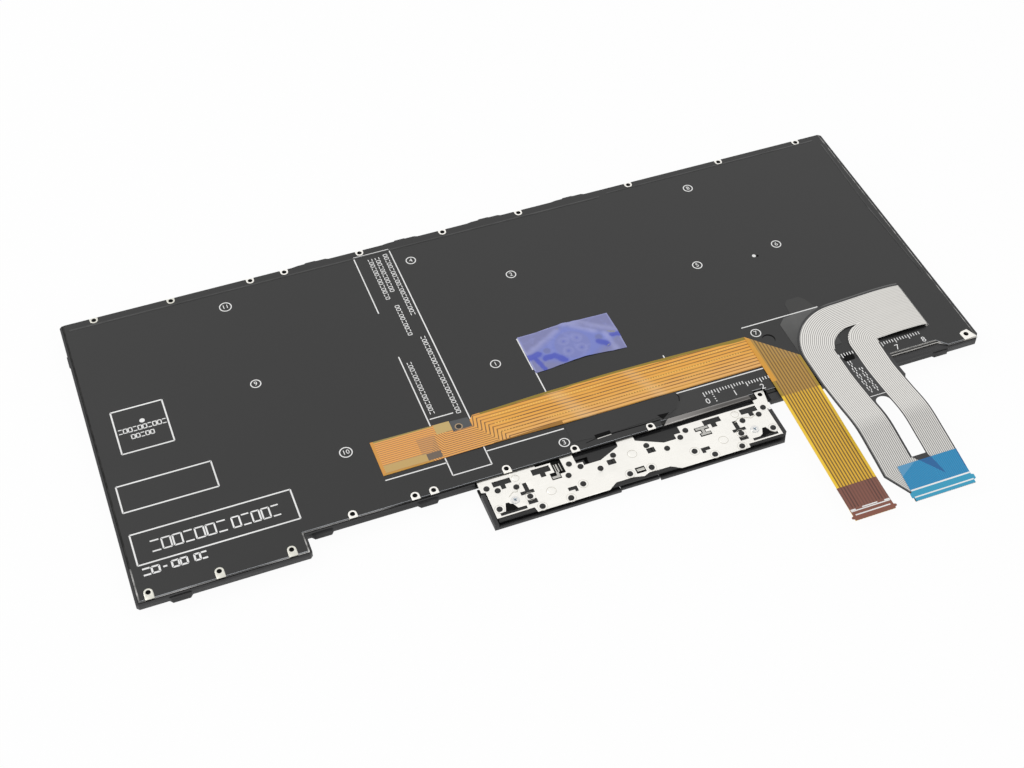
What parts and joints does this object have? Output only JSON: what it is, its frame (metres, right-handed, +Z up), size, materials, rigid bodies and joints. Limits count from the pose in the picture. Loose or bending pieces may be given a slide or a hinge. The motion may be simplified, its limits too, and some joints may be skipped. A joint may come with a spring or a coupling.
{
  "type": "laptop replacement keyboard",
  "caption": "Laptop keyboard assembly with a pointing stick, a button module and two flat flexes, lying on its keys with its printed underside up.",
  "frame": {"origin": "middle of the bounding box, on the surface that the key tops lie on", "axes": "+X towards the escape key's end, +Y from the button module to the function row, +Z up through the underside of the keyboard, which lies keys down"},
  "size_m": [0.2858, 0.1636, 0.0078],
  "materials": {
    "bezel_plastic": "fine matt texture",
    "plate_metal": "bare sheet metal",
    "membrane_film": "printed silver grey film",
    "blue_stiffener": "smooth",
    "guide_film": "clear to milky sheet",
    "black_film": "satin film",
    "key_plastic": "fine matt texture",
    "dome_rubber": "milky rubber",
    "link_plastic": "moulded",
    "wire_steel": "drawn wire",
    "sensor_plate": "stamped",
    "stick_rubber": "soft rubber",
    "blue_film": "shiny film",
    "orange_flex": "shiny film over copper tracks",
    "brown_stiffener": "smooth",
    "black_tape": "satin tape",
    "grey_tape": "clear tape over the black film",
    "stamped_metal": "bright zinc plated",
    "frame_plastic": "moulded",
    "button_plastic": "fine matt texture",
    "screw_steel": "plated",
    "spring_steel": "bright",
    "circuit_film": "lacquered circuit",
    "snap_steel": "bright"
  },
  "bodies": {
    "keyboard": {"bezel_frame": "bezel_plastic", "base_plate": "plate_metal", "membrane_circuit": "membrane_film", "tail_stiffener": "blue_stiffener", "light_guide": "guide_film", "backing_film": "black_film", "rubber_domes": "dome_rubber", "scissor_links": "link_plastic", "stabiliser_wires": "wire_steel", "stick_sensor": "sensor_plate", "stick_cap": "stick_rubber", "sensor_film": "blue_film", "pointing_flex": "orange_flex", "flex_stiffener": "brown_stiffener", "cover_tape": "black_tape", "tail_tape": "grey_tape", "button_plate": "stamped_metal", "button_frame": "frame_plastic", "module_screws": "screw_steel", "button_springs": "spring_steel", "button_circuit": "circuit_film", "button_domes": "snap_steel", "key_bank": "key_plastic"},
    "fn_key": {"key_fn": "key_plastic"},
    "control_left_key": {"key_control_left": "key_plastic"},
    "system_key": {"key_system": "key_plastic"},
    "alt_left_key": {"key_alt_left": "key_plastic"},
    "space_key": {"key_space": "key_plastic"},
    "alt_right_key": {"key_alt_right": "key_plastic"},
    "print_key": {"key_print": "key_plastic"},
    "control_right_key": {"key_control_right": "key_plastic"},
    "shift_left_key": {"key_shift_left": "key_plastic"},
    "b_key": {"key_b": "key_plastic"},
    "shift_right_key": {"key_shift_right": "key_plastic"},
    "caps_key": {"key_caps": "key_plastic"},
    "a_key": {"key_a": "key_plastic"},
    "s_key": {"key_s": "key_plastic"},
    "d_key": {"key_d": "key_plastic"},
    "g_key": {"key_g": "key_plastic"},
    "h_key": {"key_h": "key_plastic"},
    "enter_key": {"key_enter": "key_plastic"},
    "tab_key": {"key_tab": "key_plastic"},
    "w_key": {"key_w": "key_plastic"},
    "bar_key": {"key_bar": "key_plastic"},
    "backspace_key": {"key_backspace": "key_plastic"},
    "escape_key": {"key_escape": "key_plastic"},
    "home_key": {"key_home": "key_plastic"},
    "end_key": {"key_end": "key_plastic"},
    "insert_key": {"key_insert": "key_plastic"},
    "delete_key": {"key_delete": "key_plastic"},
    "right_key": {"key_right": "key_plastic"},
    "down_key": {"key_down": "key_plastic"},
    "left_key": {"key_left": "key_plastic"},
    "page_down_key": {"key_page_down": "key_plastic"},
    "up_key": {"key_up": "key_plastic"},
    "page_up_key": {"key_page_up": "key_plastic"},
    "left_button": {"button_left": "button_plastic"},
    "middle_button": {"button_middle": "button_plastic"},
    "right_button": {"button_right": "button_plastic"}
  },
  "joints": [
    {"name": "fn_press", "type": "slide", "parent": "keyboard", "child": "fn_key", "axis": [0, 0, 1], "range_m": [0, 0.0018], "stiffness_N_per_m": 330, "springref_m": -0.001, "deforming": ["rubber_domes", "scissor_links"]},
    {"name": "control_left_press", "type": "slide", "parent": "keyboard", "child": "control_left_key", "axis": [0, 0, 1], "range_m": [0, 0.0018], "stiffness_N_per_m": 330, "springref_m": -0.001, "deforming": ["rubber_domes", "scissor_links"]},
    {"name": "system_press", "type": "slide", "parent": "keyboard", "child": "system_key", "axis": [0, 0, 1], "range_m": [0, 0.0018], "stiffness_N_per_m": 330, "springref_m": -0.001, "deforming": ["rubber_domes", "scissor_links"]},
    {"name": "alt_left_press", "type": "slide", "parent": "keyboard", "child": "alt_left_key", "axis": [0, 0, 1], "range_m": [0, 0.0018], "stiffness_N_per_m": 330, "springref_m": -0.001, "deforming": ["rubber_domes", "scissor_links"]},
    {"name": "space_press", "type": "slide", "parent": "keyboard", "child": "space_key", "axis": [0, 0, 1], "range_m": [0, 0.0018], "stiffness_N_per_m": 330, "springref_m": -0.001, "deforming": ["rubber_domes", "scissor_links", "stabiliser_wires"]},
    {"name": "alt_right_press", "type": "slide", "parent": "keyboard", "child": "alt_right_key", "axis": [0, 0, 1], "range_m": [0, 0.0018], "stiffness_N_per_m": 330, "springref_m": -0.001, "deforming": ["rubber_domes", "scissor_links"]},
    {"name": "print_press", "type": "slide", "parent": "keyboard", "child": "print_key", "axis": [0, 0, 1], "range_m": [0, 0.0018], "stiffness_N_per_m": 330, "springref_m": -0.001, "deforming": ["rubber_domes", "scissor_links"]},
    {"name": "control_right_press", "type": "slide", "parent": "keyboard", "child": "control_right_key", "axis": [0, 0, 1], "range_m": [0, 0.0018], "stiffness_N_per_m": 330, "springref_m": -0.001, "deforming": ["rubber_domes", "scissor_links"]},
    {"name": "shift_left_press", "type": "slide", "parent": "keyboard", "child": "shift_left_key", "axis": [0, 0, 1], "range_m": [0, 0.0018], "stiffness_N_per_m": 330, "springref_m": -0.001, "deforming": ["rubber_domes", "scissor_links", "stabiliser_wires"]},
    {"name": "b_press", "type": "slide", "parent": "keyboard", "child": "b_key", "axis": [0, 0, 1], "range_m": [0, 0.0018], "stiffness_N_per_m": 330, "springref_m": -0.001, "deforming": ["rubber_domes", "scissor_links"]},
    {"name": "shift_right_press", "type": "slide", "parent": "keyboard", "child": "shift_right_key", "axis": [0, 0, 1], "range_m": [0, 0.0018], "stiffness_N_per_m": 330, "springref_m": -0.001, "deforming": ["rubber_domes", "scissor_links", "stabiliser_wires"]},
    {"name": "caps_press", "type": "slide", "parent": "keyboard", "child": "caps_key", "axis": [0, 0, 1], "range_m": [0, 0.0018], "stiffness_N_per_m": 330, "springref_m": -0.001, "deforming": ["rubber_domes", "scissor_links"]},
    {"name": "a_press", "type": "slide", "parent": "keyboard", "child": "a_key", "axis": [0, 0, 1], "range_m": [0, 0.0018], "stiffness_N_per_m": 330, "springref_m": -0.001, "deforming": ["rubber_domes", "scissor_links"]},
    {"name": "s_press", "type": "slide", "parent": "keyboard", "child": "s_key", "axis": [0, 0, 1], "range_m": [0, 0.0018], "stiffness_N_per_m": 330, "springref_m": -0.001, "deforming": ["rubber_domes", "scissor_links"]},
    {"name": "d_press", "type": "slide", "parent": "keyboard", "child": "d_key", "axis": [0, 0, 1], "range_m": [0, 0.0018], "stiffness_N_per_m": 330, "springref_m": -0.001, "deforming": ["rubber_domes", "scissor_links"]},
    {"name": "g_press", "type": "slide", "parent": "keyboard", "child": "g_key", "axis": [0, 0, 1], "range_m": [0, 0.0018], "stiffness_N_per_m": 330, "springref_m": -0.001, "deforming": ["rubber_domes", "scissor_links"]},
    {"name": "h_press", "type": "slide", "parent": "keyboard", "child": "h_key", "axis": [0, 0, 1], "range_m": [0, 0.0018], "stiffness_N_per_m": 330, "springref_m": -0.001, "deforming": ["rubber_domes", "scissor_links"]},
    {"name": "enter_press", "type": "slide", "parent": "keyboard", "child": "enter_key", "axis": [0, 0, 1], "range_m": [0, 0.0018], "stiffness_N_per_m": 330, "springref_m": -0.001, "deforming": ["rubber_domes", "scissor_links", "stabiliser_wires"]},
    {"name": "tab_press", "type": "slide", "parent": "keyboard", "child": "tab_key", "axis": [0, 0, 1], "range_m": [0, 0.0018], "stiffness_N_per_m": 330, "springref_m": -0.001, "deforming": ["rubber_domes", "scissor_links"]},
    {"name": "w_press", "type": "slide", "parent": "keyboard", "child": "w_key", "axis": [0, 0, 1], "range_m": [0, 0.0018], "stiffness_N_per_m": 330, "springref_m": -0.001, "deforming": ["rubber_domes", "scissor_links"]},
    {"name": "bar_press", "type": "slide", "parent": "keyboard", "child": "bar_key", "axis": [0, 0, 1], "range_m": [0, 0.0018], "stiffness_N_per_m": 330, "springref_m": -0.001, "deforming": ["rubber_domes", "scissor_links"]},
    {"name": "backspace_press", "type": "slide", "parent": "keyboard", "child": "backspace_key", "axis": [0, 0, 1], "range_m": [0, 0.0018], "stiffness_N_per_m": 330, "springref_m": -0.001, "deforming": ["rubber_domes", "scissor_links"]},
    {"name": "escape_press", "type": "slide", "parent": "keyboard", "child": "escape_key", "axis": [0, 0, 1], "range_m": [0, 0.0018], "stiffness_N_per_m": 330, "springref_m": -0.001, "deforming": ["rubber_domes", "scissor_links"]},
    {"name": "home_press", "type": "slide", "parent": "keyboard", "child": "home_key", "axis": [0, 0, 1], "range_m": [0, 0.0018], "stiffness_N_per_m": 330, "springref_m": -0.001, "deforming": ["rubber_domes", "scissor_links"]},
    {"name": "end_press", "type": "slide", "parent": "keyboard", "child": "end_key", "axis": [0, 0, 1], "range_m": [0, 0.0018], "stiffness_N_per_m": 330, "springref_m": -0.001, "deforming": ["rubber_domes", "scissor_links"]},
    {"name": "insert_press", "type": "slide", "parent": "keyboard", "child": "insert_key", "axis": [0, 0, 1], "range_m": [0, 0.0018], "stiffness_N_per_m": 330, "springref_m": -0.001, "deforming": ["rubber_domes", "scissor_links"]},
    {"name": "delete_press", "type": "slide", "parent": "keyboard", "child": "delete_key", "axis": [0, 0, 1], "range_m": [0, 0.0018], "stiffness_N_per_m": 330, "springref_m": -0.001, "deforming": ["rubber_domes", "scissor_links"]},
    {"name": "right_press", "type": "slide", "parent": "keyboard", "child": "right_key", "axis": [0, 0, 1], "range_m": [0, 0.0018], "stiffness_N_per_m": 330, "springref_m": -0.001, "deforming": ["rubber_domes", "scissor_links"]},
    {"name": "down_press", "type": "slide", "parent": "keyboard", "child": "down_key", "axis": [0, 0, 1], "range_m": [0, 0.0018], "stiffness_N_per_m": 330, "springref_m": -0.001, "deforming": ["rubber_domes", "scissor_links"]},
    {"name": "left_press", "type": "slide", "parent": "keyboard", "child": "left_key", "axis": [0, 0, 1], "range_m": [0, 0.0018], "stiffness_N_per_m": 330, "springref_m": -0.001, "deforming": ["rubber_domes", "scissor_links"]},
    {"name": "page_down_press", "type": "slide", "parent": "keyboard", "child": "page_down_key", "axis": [0, 0, 1], "range_m": [0, 0.0018], "stiffness_N_per_m": 330, "springref_m": -0.001, "deforming": ["rubber_domes", "scissor_links"]},
    {"name": "up_press", "type": "slide", "parent": "keyboard", "child": "up_key", "axis": [0, 0, 1], "range_m": [0, 0.0018], "stiffness_N_per_m": 330, "springref_m": -0.001, "deforming": ["rubber_domes", "scissor_links"]},
    {"name": "page_up_press", "type": "slide", "parent": "keyboard", "child": "page_up_key", "axis": [0, 0, 1], "range_m": [0, 0.0018], "stiffness_N_per_m": 330, "springref_m": -0.001, "deforming": ["rubber_domes", "scissor_links"]},
    {"name": "left_click", "type": "hinge", "parent": "keyboard", "child": "left_button", "pos_m": [-0.0153, -0.03062, 0.00305], "axis": [-1, 0, 0], "range_deg": [0, 3], "stiffness_Nm_per_rad": 0.08, "springref_deg": -2.86},
    {"name": "middle_click", "type": "hinge", "parent": "keyboard", "child": "middle_button", "pos_m": [0.01235, -0.03062, 0.00305], "axis": [-1, 0, 0], "range_deg": [0, 3], "stiffness_Nm_per_rad": 0.08, "springref_deg": -2.86},
    {"name": "right_click", "type": "hinge", "parent": "keyboard", "child": "right_button", "pos_m": [0.0411, -0.03062, 0.00305], "axis": [-1, 0, 0], "range_deg": [0, 3], "stiffness_Nm_per_rad": 0.08, "springref_deg": -2.86}
  ]
}
